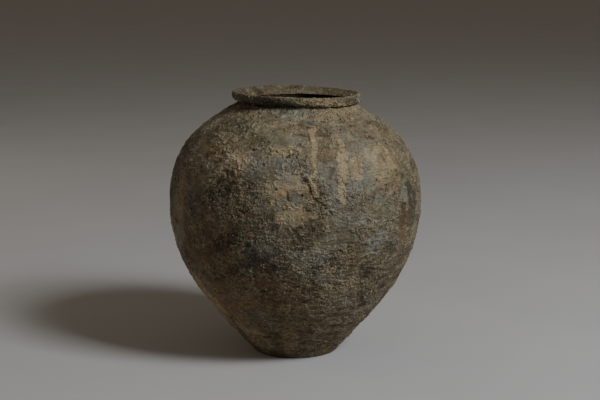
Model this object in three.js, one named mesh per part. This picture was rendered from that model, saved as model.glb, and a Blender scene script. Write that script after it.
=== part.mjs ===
// A large coil-built storage jar of low-fired dark clay, in millimetres, +Z up, standing on z = 0.
// A potter builds it in ten pieces and lutes them together before firing: a shallow pressed base
// dish, seven wall courses, a neck collar and a thick everted rim coil. Each joint is a lap: the
// lower piece's top edge is bevelled down towards the inside, and the next piece sits on that bevel
// with a thin layer of slip between them, which is left here as a gap.

import * as THREE from "three";

// Driving dimensions
const HEIGHT = 500;
const FOOT_RADIUS = 83;
const BELLY_RADIUS = 238.5;
const BELLY_HEIGHT = 294.5;
const NECK_RADIUS = 105.8;
const NECK_HEIGHT = 481;
const THROAT_RADIUS = 97.5;
const THROAT_HEIGHT = 484;
const SEAT_RADIUS = 99.5; // inner edge of the level seat between the collar and the rim coil
const RIM_RADIUS = 121;
const CREST_RADIUS = 117.2;

const WALL = 9; // thickness of the courses
const FLOOR = 16; // thickness of the base dish
const FOOT_ROUND = 4; // radius of the worn edge the jar stands on
const BEVEL = 8; // how far along the wall a joint drops from the outer face to the inner face
const SLIP = 0.3; // thickness of the slip in a joint

// The courses are of equal width, measured up the wall, between the dish's joint and the collar's
const COURSES = 7;
const FIRST_JOINT_HEIGHT = 30;
const LAST_JOINT_HEIGHT = 444;

// Fullness of the wall: how each end of its two curves leaves, as an angle from the horizontal
// and as the length of the curve's handle there
const FOOT_SLOPE = THREE.MathUtils.degToRad(49.5);
const FOOT_HANDLE = 118;
const BELLY_HANDLE_DOWN = 133;
const BELLY_HANDLE_UP = 115;
const NECK_SLOPE = THREE.MathUtils.degToRad(33);
const NECK_HANDLE = 73.5;

// Fineness of the facets
const SEGMENTS = 64;
const WALL_STEP = 19;
const ROUND_STEPS = 4;
const RIM_STEPS = 24;

const point = (radius, height) => new THREE.Vector2(radius, height);
const along = (angle, length) => point(length * Math.cos(angle), length * Math.sin(angle));

// The outer face from the foot up to the neck: two cubic curves that meet upright at the belly.
function outerWall() {
  const foot = point(FOOT_RADIUS, FOOT_ROUND);
  const belly = point(BELLY_RADIUS, BELLY_HEIGHT);
  const neck = point(NECK_RADIUS, NECK_HEIGHT);
  const wall = new THREE.CurvePath();
  wall.add(
    new THREE.CubicBezierCurve(
      foot,
      foot.clone().add(along(FOOT_SLOPE, FOOT_HANDLE)),
      point(BELLY_RADIUS, BELLY_HEIGHT - BELLY_HANDLE_DOWN),
      belly,
    ),
  );
  wall.add(
    new THREE.CubicBezierCurve(
      belly,
      point(BELLY_RADIUS, BELLY_HEIGHT + BELLY_HANDLE_UP),
      neck.clone().add(along(-NECK_SLOPE, NECK_HANDLE)),
      neck,
    ),
  );
  return wall;
}

const wall = outerWall();
const wallLength = wall.getLength();
const outerPoint = (distance) => wall.getPointAt(distance / wallLength);

// The point of the inner face square across the wall from the outer face's point there.
function innerPoint(distance) {
  const direction = wall.getTangentAt(distance / wallLength);
  const inward = point(-direction.y, direction.x).multiplyScalar(WALL);
  return outerPoint(distance).add(inward);
}

// How far along the outer face, from the foot, it reaches this height.
function distanceAtHeight(height) {
  let low = 0;
  let high = wallLength;
  while (high - low > 1e-6) {
    const middle = (low + high) / 2;
    if (outerPoint(middle).y < height) low = middle;
    else high = middle;
  }
  return low;
}

// Evenly spaced points of one face, both ends included, in steps of about WALL_STEP.
function stretch(face, from, to) {
  const steps = Math.max(1, Math.round(Math.abs(to - from) / WALL_STEP));
  return Array.from({ length: steps + 1 }, (_, i) => face(from + ((to - from) * i) / steps));
}

// Points of a round corner between two directions, given in degrees.
function roundCorner(centre, radius, fromDegrees, toDegrees) {
  return Array.from({ length: ROUND_STEPS + 1 }, (_, i) => {
    const degrees = fromDegrees + ((toDegrees - fromDegrees) * i) / ROUND_STEPS;
    return centre.clone().add(along(THREE.MathUtils.degToRad(degrees), radius));
  });
}

// A closed outline turned about the jar's axis. The lathe turns about Y, so the solid is stood up.
function turned(outline, closesOnItself = true) {
  const profile = closesOnItself ? [...outline, outline[0]] : outline;
  return new THREE.LatheGeometry(profile, SEGMENTS).rotateX(Math.PI / 2);
}

// The shallow dish the jar stands on: a flat floor with a low upstand, bevelled for the first course.
function baseDish(top) {
  const floorRadius = innerPoint(0).x - WALL;
  return turned(
    [
      point(0, 0),
      ...roundCorner(point(FOOT_RADIUS - FOOT_ROUND, FOOT_ROUND), FOOT_ROUND, -90, -30),
      ...stretch(outerPoint, WALL_STEP / 4, top),
      innerPoint(top - BEVEL),
      point(floorRadius, FLOOR),
      point(0, FLOOR),
    ],
    false,
  );
}

// One wall course between two joints, bevelled the same way at both ends.
function wallCourse(bottom, top) {
  const start = bottom + SLIP;
  return turned([...stretch(outerPoint, start, top), ...stretch(innerPoint, top - BEVEL, start - BEVEL)]);
}

// The collar closes the shoulder in to the throat, and ends in a level seat for the rim coil.
function neckCollar(bottom) {
  const start = bottom + SLIP;
  return turned([
    ...stretch(outerPoint, start, wallLength),
    point(SEAT_RADIUS, NECK_HEIGHT),
    ...stretch(innerPoint, wallLength - WALL, start - BEVEL),
  ]);
}

// The rim coil: an undercut below, a blunt outer face, a narrow crest, and a funnel down to the
// throat, which is cut back underneath.
function rimCoil() {
  const seat = NECK_HEIGHT + SLIP;
  const outside = new THREE.SplineCurve([
    point(NECK_RADIUS, seat),
    point(113, 483.6),
    point(119.2, 487.4),
    point(RIM_RADIUS, 492.5),
    point(120.3, 498),
    point(CREST_RADIUS, HEIGHT),
    point(113.4, 498),
    point(105, 490.6),
    point(THROAT_RADIUS, THROAT_HEIGHT),
  ]);
  return turned([...outside.getPoints(RIM_STEPS), point(SEAT_RADIUS, seat)]);
}

const clay = (colour, roughness) => new THREE.MeshStandardMaterial({ color: colour, roughness, metalness: 0 });
const WALL_CLAY = clay(0x4f4a3c, 0.9);
const BASE_CLAY = clay(0x3a3228, 0.95);
const RIM_CLAY = clay(0x665e4c, 0.9);

const jar = new THREE.Group();

function addPiece(name, geometry, material) {
  const piece = new THREE.Mesh(geometry, material);
  piece.name = name;
  jar.add(piece);
}

const firstJoint = distanceAtHeight(FIRST_JOINT_HEIGHT);
const lastJoint = distanceAtHeight(LAST_JOINT_HEIGHT);
const courseWidth = (lastJoint - firstJoint) / COURSES;

addPiece("base_dish", baseDish(firstJoint), BASE_CLAY);
for (let i = 0; i < COURSES; i++) {
  const bottom = firstJoint + i * courseWidth;
  addPiece(`wall_course_${i + 1}`, wallCourse(bottom, bottom + courseWidth), WALL_CLAY);
}
addPiece("neck_collar", neckCollar(lastJoint), WALL_CLAY);
addPiece("rim_coil", rimCoil(), RIM_CLAY);

export default jar;
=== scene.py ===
"""A large dark clay storage jar: coil-built, low-fired, unglazed and thickly crusted with grit.

The jar is built up as it was by hand: a base dish, wall courses, a collar and a rim coil, each a
closed ring of clay. One relief recipe models the worked, flaking surface over all of them, so that
the courses run into each other, and loose grit is then scattered over the crust.
Lengths are in metres and +Z is up. Turns round the jar are in degrees from the front, to the right.
"""

import logging
import math
from dataclasses import dataclass
from enum import Enum

import bmesh
import bpy
import numpy as np
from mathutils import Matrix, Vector


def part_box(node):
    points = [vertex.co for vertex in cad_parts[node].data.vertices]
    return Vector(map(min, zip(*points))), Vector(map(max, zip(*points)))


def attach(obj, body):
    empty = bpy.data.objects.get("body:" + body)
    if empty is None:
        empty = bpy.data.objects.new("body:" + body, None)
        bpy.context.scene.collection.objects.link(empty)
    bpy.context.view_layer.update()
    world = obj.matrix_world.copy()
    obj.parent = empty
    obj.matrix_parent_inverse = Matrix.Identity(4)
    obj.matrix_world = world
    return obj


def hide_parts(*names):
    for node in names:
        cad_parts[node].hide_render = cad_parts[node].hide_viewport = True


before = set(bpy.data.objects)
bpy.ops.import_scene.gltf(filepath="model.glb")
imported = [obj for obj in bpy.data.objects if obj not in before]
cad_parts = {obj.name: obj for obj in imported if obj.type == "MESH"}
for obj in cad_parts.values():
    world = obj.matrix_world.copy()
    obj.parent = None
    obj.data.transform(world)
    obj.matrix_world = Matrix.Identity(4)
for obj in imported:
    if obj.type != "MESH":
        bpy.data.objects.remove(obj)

LOG = logging.getLogger("jar")
BODY = "root"
BAKE_MAP = "OFBake"  # the name of the map laid out for the jar's textures to be baked into
MM = 0.001
RIGHTWARD, BACKWARD, UPWARD = (1, 0, 0), (0, 1, 0), (0, 0, 1)
FULL_TURN = 6.28  # in radians
LEVEL = (1, 1, 0)  # what a place is squeezed by to lie on the floor

Socket = bpy.types.NodeSocket
Value = Socket | float
Place = Socket | tuple[float, float, float]
Colour = tuple[float, float, float, float]


class Clay(Enum):
    """The record's three finishes."""

    BASE = "base_clay"
    WALL = "wall_clay"
    RIM = "rim_clay"


class Face(Enum):
    """Which face of the clay a strip of an outline belongs to."""

    SKIN = "outside"
    LINING = "inside"
    LAP = "joint"
    STAND = "underside"


class Mark(Enum):
    """The ways in which the surface differs from place to place. The value names the attribute."""

    CRUST = "crust"
    BARE = "bare"
    SLATE = "slate"
    TAN = "tan"
    RUST = "rust"
    # soot stains, and painted shade on the jar's sides
    SOOT_AND_SHADE = "soot_and_shade"
    WIPED = "wiped"
    WRINKLED = "wrinkled"


Marks = dict[Mark, Socket]

# The other values that the meshes carry on their points.
RELIEF = "relief"  # how proud the small relief stands, in millimetres
SKIN = "skin"  # 1 outside, 0 in a joint or underneath, -1 inside
OUTWARD = "outward"  # the way out of the clay, which the relief moves the surface along
TONE = "tone"  # a stone's own shade

MODELLED = 0.4  # the share of the small relief that is modelled; the rest is shaded


# ---------------------------------------------------------------- places on the jar


@dataclass(frozen=True)
class Patch:
    """A soft-edged oval area of the outside.

    turn and height place its middle, across and tall are its half width and half height.
    """

    turn: float
    height: float
    across: float
    tall: float
    strength: float = 1.0


@dataclass(frozen=True)
class Scar:
    """A straight crack or ridge between two places, each a turn and a height. A crack's rise is negative."""

    start: tuple[float, float]
    end: tuple[float, float]
    width: float
    rise: float


MARKS: dict[Mark, tuple[Patch, ...]] = {
    Mark.CRUST: (
        Patch(-18, 0.250, 0.085, 0.050, 1.0),
        Patch(0, 0.205, 0.060, 0.050, 0.9),
        Patch(20, 0.200, 0.090, 0.055, 0.6),
        Patch(-27, 0.330, 0.055, 0.050, 0.6),
        Patch(8, 0.345, 0.030, 0.035, 0.9),
        Patch(28, 0.470, 0.050, 0.012, 0.9),
        Patch(60, 0.492, 0.130, 0.024, 1.0),
        Patch(-38, 0.440, 0.060, 0.022, 0.7),
        Patch(-2, 0.120, 0.060, 0.085, 0.8),
        Patch(12, 0.040, 0.070, 0.040, 0.8),
        Patch(60, 0.478, 0.090, 0.010, 1.0),
    ),
    Mark.BARE: (
        Patch(-6, 0.322, 0.036, 0.042, 1.0),
        Patch(-62, 0.240, 0.080, 0.150, 1.0),
        Patch(-22, 0.440, 0.130, 0.030, 1.0),
        Patch(40, 0.390, 0.080, 0.050, 0.7),
        Patch(-50, 0.110, 0.090, 0.060, 0.8),
        Patch(62, 0.250, 0.040, 0.080, 0.8),
        Patch(-16, 0.392, 0.060, 0.034, 0.9),
        Patch(-4, 0.355, 0.040, 0.030, 0.7),
        Patch(14, 0.400, 0.030, 0.050, 0.5),
    ),
    Mark.SLATE: (
        Patch(-7, 0.428, 0.040, 0.014, 0.4),
        Patch(-1, 0.385, 0.035, 0.028, 0.7),
        Patch(18, 0.325, 0.018, 0.045, 0.9),
        Patch(27, 0.292, 0.024, 0.010, 1.5),
        Patch(39, 0.248, 0.020, 0.020, 1.7),
        Patch(57, 0.326, 0.012, 0.014, 1.8),
        Patch(33, 0.400, 0.040, 0.050, 0.6),
        Patch(1, 0.474, 0.050, 0.008, 1.8),
        Patch(14, 0.459, 0.012, 0.004, 1.4),
        Patch(-10, 0.466, 0.004, 0.003, 1.8),
        Patch(-22, 0.385, 0.040, 0.020, 0.7),
        Patch(-16, 0.250, 0.060, 0.030, 0.7),
        Patch(5, 0.215, 0.050, 0.030, 0.6),
        Patch(20, 0.180, 0.060, 0.020, 0.5),
    ),
    Mark.TAN: (
        # two pale smears that run down the shoulder
        Patch(11, 0.446, 0.0075, 0.008, 1.8),
        Patch(10.2, 0.424, 0.0050, 0.022, 1.3),
        Patch(9.0, 0.395, 0.0055, 0.022, 1.2),
        Patch(8.0, 0.368, 0.0070, 0.010, 1.7),
        Patch(25.5, 0.415, 0.0070, 0.024, 0.9),
        Patch(22.5, 0.385, 0.0090, 0.026, 1.3),
        Patch(20.5, 0.345, 0.0080, 0.036, 1.1),
        # dusted clay; the patches at turn 45 under the rim and turn -68 low on the left flank are also
        # painted light over shade
        Patch(29, 0.387, 0.014, 0.026, 0.9),
        Patch(15, 0.205, 0.020, 0.016, 0.8),
        Patch(45, 0.478, 0.070, 0.009, 1.6),
        Patch(80, 0.480, 0.060, 0.008, 1.2),
        Patch(-68, 0.110, 0.045, 0.060, 1.5),
        Patch(-74, 0.072, 0.030, 0.036, 1.3),
        Patch(-80, 0.235, 0.022, 0.040, 0.8),
        Patch(-32, 0.382, 0.030, 0.020, 0.6),
        Patch(7, 0.345, 0.018, 0.030, 0.9),
        Patch(-2, 0.308, 0.026, 0.016, 1.0),
        Patch(36, 0.286, 0.016, 0.002, 1.0),
        Patch(-8, 0.340, 0.024, 0.028, 0.6),
        Patch(-3, 0.303, 0.028, 0.026, 0.7),
        Patch(-29, 0.387, 0.030, 0.020, 0.9),
        Patch(24, 0.490, 0.050, 0.018, 1.0),
        Patch(-5, 0.412, 0.030, 0.010, 0.8),
        Patch(33, 0.470, 0.045, 0.014, 1.5),
        Patch(-1, 0.365, 0.020, 0.020, 0.5),
        Patch(-8, 0.445, 0.050, 0.014, 0.4),
        Patch(-4, 0.060, 0.020, 0.050, 0.5),
        Patch(-42, 0.050, 0.040, 0.045, 0.7),
        Patch(45, 0.385, 0.045, 0.035, 0.6),
        Patch(-40, 0.428, 0.060, 0.010, 0.5),
        Patch(8, 0.306, 0.012, 0.008, 0.8),
        Patch(26, 0.170, 0.060, 0.025, 0.5),
    ),
    Mark.RUST: (
        Patch(-45, 0.405, 0.030, 0.022, 0.8),
        Patch(-62, 0.290, 0.020, 0.070, 0.9),
        Patch(-20, 0.262, 0.012, 0.010, 1.0),
        Patch(-5, 0.345, 0.012, 0.010, 0.9),
        Patch(-4, 0.055, 0.026, 0.055, 1.2),
        Patch(58, 0.256, 0.032, 0.060, 0.6),
        # specks of ochre
        Patch(36, 0.310, 0.004, 0.004, 1.8),
        Patch(41, 0.307, 0.003, 0.003, 1.8),
        Patch(48, 0.304, 0.003, 0.004, 1.8),
        Patch(-17, 0.274, 0.008, 0.006, 1.4),
        # broad warm areas
        Patch(-16, 0.150, 0.100, 0.045, 0.9),
        Patch(-50, 0.120, 0.060, 0.060, 0.8),
        Patch(-42, 0.240, 0.080, 0.070, 0.6),
        Patch(46, 0.350, 0.035, 0.030, 0.5),
    ),
    Mark.SOOT_AND_SHADE: (
        # soot stains; the patches at turns -50, -47, -78, 49, 58 and 62 are painted shade on the jar's sides
        # and the collar's left
        Patch(-34, 0.230, 0.060, 0.060, 1.0),
        Patch(-50, 0.270, 0.045, 0.070, 1.1),
        Patch(-13, 0.270, 0.034, 0.018, 0.9),
        Patch(-1, 0.250, 0.040, 0.014, 0.6),
        Patch(-12, 0.215, 0.060, 0.040, 0.8),
        Patch(-60, 0.487, 0.120, 0.022, 0.9),
        Patch(18, 0.440, 0.015, 0.012, 0.6),
        Patch(17, 0.385, 0.009, 0.050, 0.5),
        Patch(-8, 0.248, 0.035, 0.018, 0.8),
        Patch(8, 0.340, 0.020, 0.025, 0.8),
        Patch(-17, 0.172, 0.065, 0.032, 1.0),
        Patch(40, 0.165, 0.050, 0.040, 0.9),
        Patch(58, 0.270, 0.030, 0.070, 0.9),
        Patch(-47, 0.434, 0.055, 0.030, 0.8),
        Patch(-78, 0.370, 0.060, 0.080, 1.2),
        Patch(62, 0.300, 0.032, 0.050, 1.3),
        Patch(49, 0.245, 0.030, 0.026, 1.1),
        Patch(-13, 0.152, 0.040, 0.026, 1.4),
        Patch(-25, 0.183, 0.044, 0.026, 1.1),
        Patch(46, 0.136, 0.040, 0.030, 1.7),
        Patch(-62, 0.200, 0.020, 0.030, 0.8),
        Patch(-15, 0.300, 0.030, 0.018, 0.6),
        Patch(-40, 0.175, 0.060, 0.030, 0.8),
    ),
    Mark.WIPED: (
        Patch(12, 0.090, 0.110, 0.085, 1.0),
        Patch(50, 0.160, 0.130, 0.050, 0.9),
        Patch(-10, 0.448, 0.160, 0.026, 1.0),
        Patch(-50, 0.120, 0.100, 0.070, 0.8),
        Patch(50, 0.430, 0.090, 0.030, 0.7),
    ),
    Mark.WRINKLED: (
        Patch(-30, 0.395, 0.075, 0.045, 1.0),
        Patch(-8, 0.400, 0.045, 0.030, 0.8),
        Patch(25, 0.190, 0.110, 0.070, 0.8),
        Patch(20, 0.340, 0.050, 0.050, 0.6),
        Patch(-28, 0.340, 0.060, 0.050, 0.9),
        Patch(2, 0.080, 0.090, 0.075, 1.0),
    ),
}

SCARS: tuple[Scar, ...] = (
    # the long crack on the belly, with its lip and its branches
    Scar((3, 0.369), (8, 0.337), 2.6 * MM, -3.2 * MM),
    Scar((8, 0.337), (16, 0.304), 2.4 * MM, -2.6 * MM),
    Scar((4, 0.373), (10, 0.341), 2.0 * MM, 1.8 * MM),
    Scar((5, 0.318), (8, 0.308), 1.8 * MM, -1.3 * MM),
    Scar((8, 0.320), (11, 0.306), 1.8 * MM, 1.2 * MM),
    # flake edges on the shoulder
    Scar((-39, 0.431), (-22, 0.413), 1.8 * MM, -1.2 * MM),
    Scar((-10, 0.414), (-6, 0.403), 2.0 * MM, -3.0 * MM),
    Scar((-6, 0.403), (-1, 0.407), 2.0 * MM, -3.0 * MM),
    Scar((-22, 0.413), (-10, 0.414), 1.8 * MM, -1.8 * MM),
    Scar((-1, 0.407), (2, 0.410), 1.6 * MM, -1.4 * MM),
    # short ridges and one gouge
    Scar((-32, 0.368), (-25, 0.359), 1.8 * MM, 1.4 * MM),
    Scar((-4, 0.345), (-3, 0.331), 3.0 * MM, -1.2 * MM),
    Scar((-22, 0.200), (-15, 0.192), 1.6 * MM, 1.2 * MM),
    # a thin ridge like a straw
    Scar((33, 0.293), (41, 0.275), 1.6 * MM, 4.0 * MM),
    # two ridges above the foot
    Scar((12, 0.070), (28, 0.086), 1.8 * MM, 1.2 * MM),
    Scar((10, 0.052), (26, 0.066), 1.8 * MM, 1.2 * MM),
)


# ---------------------------------------------------------------- the jar's outline


@dataclass(frozen=True)
class JarOutline:
    """The driving dimensions of the clay, and the outline they give as radius and height."""

    foot_radius: float = 0.083
    foot_round: float = 0.004
    belly_radius: float = 0.2385
    belly_height: float = 0.2945
    neck_radius: float = 0.1058
    neck_height: float = 0.481
    seat_radius: float = 0.0995
    throat_radius: float = 0.0975
    throat_height: float = 0.484
    rim_radius: float = 0.121
    crest_radius: float = 0.1172
    height: float = 0.5
    wall: float = 0.009
    floor: float = 0.016
    bevel: float = 0.008
    foot_slope: float = math.radians(49.5)
    foot_handle: float = 0.118
    belly_handle_down: float = 0.133
    belly_handle_up: float = 0.115
    neck_slope: float = math.radians(33)
    neck_handle: float = 0.0735

    def skin(self) -> np.ndarray:
        """Follows the outside from the foot to the neck.

        Returns:
            Closely spaced points, one row each of radius and height.
        """
        foot = np.array((self.foot_radius, self.foot_round))
        belly = np.array((self.belly_radius, self.belly_height))
        neck = np.array((self.neck_radius, self.neck_height))
        leave = self.foot_handle * np.array((math.cos(self.foot_slope), math.sin(self.foot_slope)))
        arrive = self.neck_handle * np.array((math.cos(self.neck_slope), -math.sin(self.neck_slope)))
        lower = bezier(foot, foot + leave, belly - (0, self.belly_handle_down), belly)
        upper = bezier(belly, belly + (0, self.belly_handle_up), neck + arrive, neck)
        return np.vstack((lower, upper[1:]))

    def rim(self) -> np.ndarray:
        """The corners of the rim coil's section, from the neck over the crest to the throat."""
        return np.array((
            (self.neck_radius, self.neck_height),
            (0.1130, 0.4836),
            (0.1192, 0.4874),
            (self.rim_radius, 0.4925),
            (0.1203, 0.4980),
            (self.crest_radius, self.height),
            (0.1134, 0.4980),
            (0.1050, 0.4906),
            (self.throat_radius, self.throat_height),
        ))


def bezier(a: np.ndarray, b: np.ndarray, c: np.ndarray, d: np.ndarray, steps: int = 600) -> np.ndarray:
    """Follows a cubic curve.

    Args:
        a: Its start.
        b: The handle at its start.
        c: The handle at its end.
        d: Its end.
        steps: How many points to give.

    Returns:
        The points, one row each.
    """
    t = np.linspace(0, 1, steps)[:, None]
    return (1 - t) ** 3 * a + 3 * (1 - t) ** 2 * t * b + 3 * (1 - t) * t**2 * c + t**3 * d


def spline(points: np.ndarray, steps: int = 24) -> np.ndarray:
    """Runs a smooth curve through points.

    Args:
        points: The points, one row each.
        steps: How many points to give between each two.

    Returns:
        The curve's points, one row each.
    """
    padded = np.vstack((points[0], points, points[-1]))
    t = np.linspace(0, 1, steps, endpoint=False)[:, None]
    spans = []
    for p, q, r, s in zip(padded, padded[1:], padded[2:], padded[3:]):
        leave, arrive = (r - p) / 2, (s - q) / 2
        spans.append(
            q + leave * t
            + (3 * (r - q) - 2 * leave - arrive) * t**2
            + (2 * (q - r) + leave + arrive) * t**3
        )
    return np.vstack((*spans, points[-1]))


def lengths(points: np.ndarray) -> np.ndarray:
    """How far along a line each of its points is."""
    return np.r_[0, np.cumsum(np.linalg.norm(np.diff(points, axis=0), axis=1))]


def evenly(points: np.ndarray, step: float) -> np.ndarray:
    """Spaces a line's points evenly.

    Args:
        points: The line's points, one row each.
        step: About how far apart the new points are.

    Returns:
        The new points, with the same two ends.
    """
    along = lengths(points)
    count = max(1, round(along[-1] / step))
    wanted = np.linspace(0, along[-1], count + 1)
    return np.stack([np.interp(wanted, along, points[:, k]) for k in range(2)], axis=1)


def square_to(points: np.ndarray) -> np.ndarray:
    """Finds the way square to a line, to the right of the way it runs.

    Args:
        points: The line's points, one row each.

    Returns:
        The way at each point, one long.
    """
    run = np.gradient(points, axis=0)
    run /= np.linalg.norm(run, axis=1)[:, None]
    return np.stack((run[:, 1], -run[:, 0]), axis=1)


@dataclass
class Strip:
    """A stretch of a ring's outline on one face of the clay, with the way out of the clay along it."""

    face: Face
    points: np.ndarray
    out: np.ndarray


class WallLine:
    """Cuts the wall's outside and lining into the stretches that each piece of clay takes."""

    SKIN_STEP = 1.4 * MM
    LINING_STEP = 6 * MM

    def __init__(self, outline: JarOutline) -> None:
        """Lays the outline out along its length.

        Args:
            outline: The jar's dimensions.
        """
        self.outline = outline
        self.skin = outline.skin()
        self.out = square_to(self.skin)
        self.lining = self.skin - self.out * outline.wall
        self.along = lengths(self.skin)
        self.length = float(self.along[-1])

    def at_height(self, height: float) -> float:
        """How far along the outside, from the foot, it reaches this height."""
        return float(np.interp(height, self.skin[:, 1], self.along))

    def _stretch(
        self, line: np.ndarray, start: float, end: float, step: float
    ) -> tuple[np.ndarray, np.ndarray]:
        """Takes evenly spaced points of one face.

        Args:
            line: The face's points.
            start: Where along the wall to start.
            end: Where along the wall to end.
            step: About how far apart the points are.

        Returns:
            The points, and the way out of the wall's outside at each.
        """
        count = max(1, round(abs(end - start) / step))
        wanted = np.linspace(start, end, count + 1)
        points = np.stack([np.interp(wanted, self.along, line[:, k]) for k in range(2)], axis=1)
        out = np.stack([np.interp(wanted, self.along, self.out[:, k]) for k in range(2)], axis=1)
        return points, out

    def outside(self, start: float, end: float) -> Strip:
        """The outside between two places along the wall."""
        points, out = self._stretch(self.skin, start, end, self.SKIN_STEP)
        return Strip(Face.SKIN, points, out)

    def inside(self, start: float, end: float) -> Strip:
        """The lining between two places along the wall."""
        points, out = self._stretch(self.lining, start, end, self.LINING_STEP)
        return Strip(Face.LINING, points, -out)

    def inner(self, place: float) -> np.ndarray:
        """The lining's point at a place along the wall."""
        return self._stretch(self.lining, place, place, 1)[0][0]


def plain_strip(face: Face, points: list[tuple[float, float]], step: float) -> Strip:
    """A stretch through a few corners.

    Args:
        face: Which face of the clay it is.
        points: Its corners.
        step: About how far apart its points are.

    Returns:
        The stretch.
    """
    line = [np.array(points[:1])]
    for a, b in zip(points, points[1:]):
        line.append(evenly(np.array((a, b)), step)[1:])
    joined = np.vstack(line)
    return Strip(face, joined, square_to(joined))


# ---------------------------------------------------------------- rings of clay


class Ring:
    """Turns an outline into a closed ring of clay, with its baking map and what the relief needs."""

    TURNS = 960  # faces round the jar, the same in every piece so that the pieces meet point to point
    ISLAND_GAP = 0.006

    def __init__(self, name: str, strips: list[Strip]) -> None:
        """Joins the strips into one outline.

        Args:
            name: The piece's name.
            strips: The stretches in order, anticlockwise, each starting where the last one ends.
        """
        self.name = name
        self.strips = strips
        self.closed = bool(np.allclose(strips[0].points[0], strips[-1].points[-1], atol=1e-7))

    def _outline(self) -> tuple[np.ndarray, np.ndarray, np.ndarray, np.ndarray]:
        """Joins the strips.

        Returns:
            Points, the way out at each, how much of the relief each takes (1 outside, -1 lining,
            0 in a joint), and which points are corners between two faces.
        """
        amounts = {Face.SKIN: 1.0, Face.LINING: -1.0, Face.LAP: 0.0, Face.STAND: 0.0}
        points, out, skin, corner = [], [], [], []
        for strip in self.strips:
            for i, (point, way) in enumerate(zip(strip.points, strip.out)):
                amount = amounts[strip.face]
                if points and i == 0:
                    corner[-1] = True
                    if skin[-1] == 0:
                        out[-1], skin[-1] = way, amount
                    continue
                points.append(point)
                out.append(way)
                skin.append(amount)
                corner.append(False)
        if self.closed:
            if skin[0] == 0:
                out[0], skin[0] = out[-1], skin[-1]
            for line in (points, out, skin, corner):
                line.pop()
            corner[0] = True
        return np.array(points), np.array(out), np.array(skin), np.array(corner)

    def build(self) -> bpy.types.Object:
        """Makes the ring.

        Returns:
            An object in the scene whose mesh carries the way out, the relief's share and the map.
        """
        points, out, skin, corner = self._outline()
        turns = self.TURNS
        rows = len(points)
        angle = np.arange(turns) * 2 * math.pi / turns
        across = np.stack((np.sin(angle), -np.cos(angle)), axis=1)
        place = np.empty((rows, turns, 3))
        place[..., :2] = points[:, None, :1] * across[None]
        place[..., 2] = points[:, None, 1]
        way = np.empty_like(place)
        way[..., :2] = out[:, None, :1] * across[None]
        way[..., 2] = out[:, None, 1]

        row = np.arange(rows if self.closed else rows - 1)
        lower = row[:, None] * turns + np.arange(turns)[None]
        upper = ((row + 1) % rows)[:, None] * turns + np.arange(turns)[None]
        quads = np.stack((lower, np.roll(lower, -1, 1), np.roll(upper, -1, 1), upper), axis=-1)
        faces = quads.reshape(-1, 4)

        mesh = bpy.data.meshes.new(self.name)
        on_axis = [i for i in (0, rows - 1) if not self.closed and points[i, 0] < 1e-9]
        mesh.from_pydata(place.reshape(-1, 3), [], faces.tolist())
        self._attribute(mesh, SKIN, "FLOAT", np.repeat(skin, turns))
        self._attribute(mesh, OUTWARD, "FLOAT_VECTOR", way.reshape(-1, 3))
        self._map(mesh, points, row, turns)
        mesh.shade_smooth()
        self._crease(mesh, corner, turns)
        if on_axis:
            self._close_poles(mesh)
        piece = bpy.data.objects.new(self.name, mesh)
        bpy.context.scene.collection.objects.link(piece)
        return piece

    @staticmethod
    def _attribute(mesh: bpy.types.Mesh, name: str, kind: str, values: np.ndarray) -> None:
        """Writes one value to each point.

        Args:
            mesh: The mesh.
            name: The attribute's name.
            kind: Its data type.
            values: The values, in the points' order.
        """
        made = mesh.attributes.new(name, kind, "POINT")
        field = "vector" if kind == "FLOAT_VECTOR" else "value"
        made.data.foreach_set(field, values.astype(np.float32).ravel())

    def _map(self, mesh: bpy.types.Mesh, points: np.ndarray, row: np.ndarray, turns: int) -> None:
        """Unrolls the ring into a few long strips, stacked in a square.

        Args:
            mesh: The mesh, made row by row.
            points: The outline's points.
            row: The rows of faces.
            turns: The faces in each row.
        """
        wrapped = np.vstack((points, points[:1])) if self.closed else points
        along = lengths(wrapped)
        around = 2 * math.pi * points[:, 0].max()
        sectors = max(1, round(math.sqrt(around / along[-1])))
        while turns % sectors:
            sectors += 1
        per = turns // sectors
        tall = along[-1]
        side = max(around / sectors, sectors * tall) * (1 + self.ISLAND_GAP * sectors)
        column = np.arange(turns)
        sector = column // per
        left = (column % per) / per * around / sectors / side
        right = (column % per + 1) / per * around / sectors / side
        base = sector * (tall / side + self.ISLAND_GAP) + self.ISLAND_GAP / 2
        low, high = along[row] / side, along[row + 1] / side
        u = np.stack(np.broadcast_arrays(left, right, right, left), axis=-1)
        u = np.broadcast_to(u[None], (len(row), turns, 4))
        v_low = base[None] + low[:, None]
        v_high = base[None] + high[:, None]
        v = np.stack((v_low, v_low, v_high, v_high), axis=-1)
        places = np.stack((u + self.ISLAND_GAP / 2, v), axis=-1)
        layer = mesh.uv_layers.new(name=BAKE_MAP)
        layer.uv.foreach_set("vector", places.astype(np.float32).ravel())

    @staticmethod
    def _crease(mesh: bpy.types.Mesh, corner: np.ndarray, turns: int) -> None:
        """Keeps the corners between two faces of the clay sharp.

        Args:
            mesh: The mesh.
            corner: Which of the outline's points are corners.
            turns: The faces round the ring.
        """
        ends = np.empty(len(mesh.edges) * 2, np.int32)
        mesh.edges.foreach_get("vertices", ends)
        rows = ends.reshape(-1, 2) // turns
        sharp = (rows[:, 0] == rows[:, 1]) & corner[rows[:, 0]]
        made = mesh.attributes.get("sharp_edge") or mesh.attributes.new("sharp_edge", "BOOLEAN", "EDGE")
        made.data.foreach_set("value", sharp)

    @staticmethod
    def _close_poles(mesh: bpy.types.Mesh) -> None:
        """Welds the points that lie together on the axis into one.

        Args:
            mesh: The mesh.
        """
        work = bmesh.new()
        work.from_mesh(mesh)
        poles = [v for v in work.verts if v.co.xy.length < 1e-7]
        bmesh.ops.remove_doubles(work, verts=poles, dist=1e-6)
        work.to_mesh(mesh)
        work.free()


# ---------------------------------------------------------------- writing recipes as formulas


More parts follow.
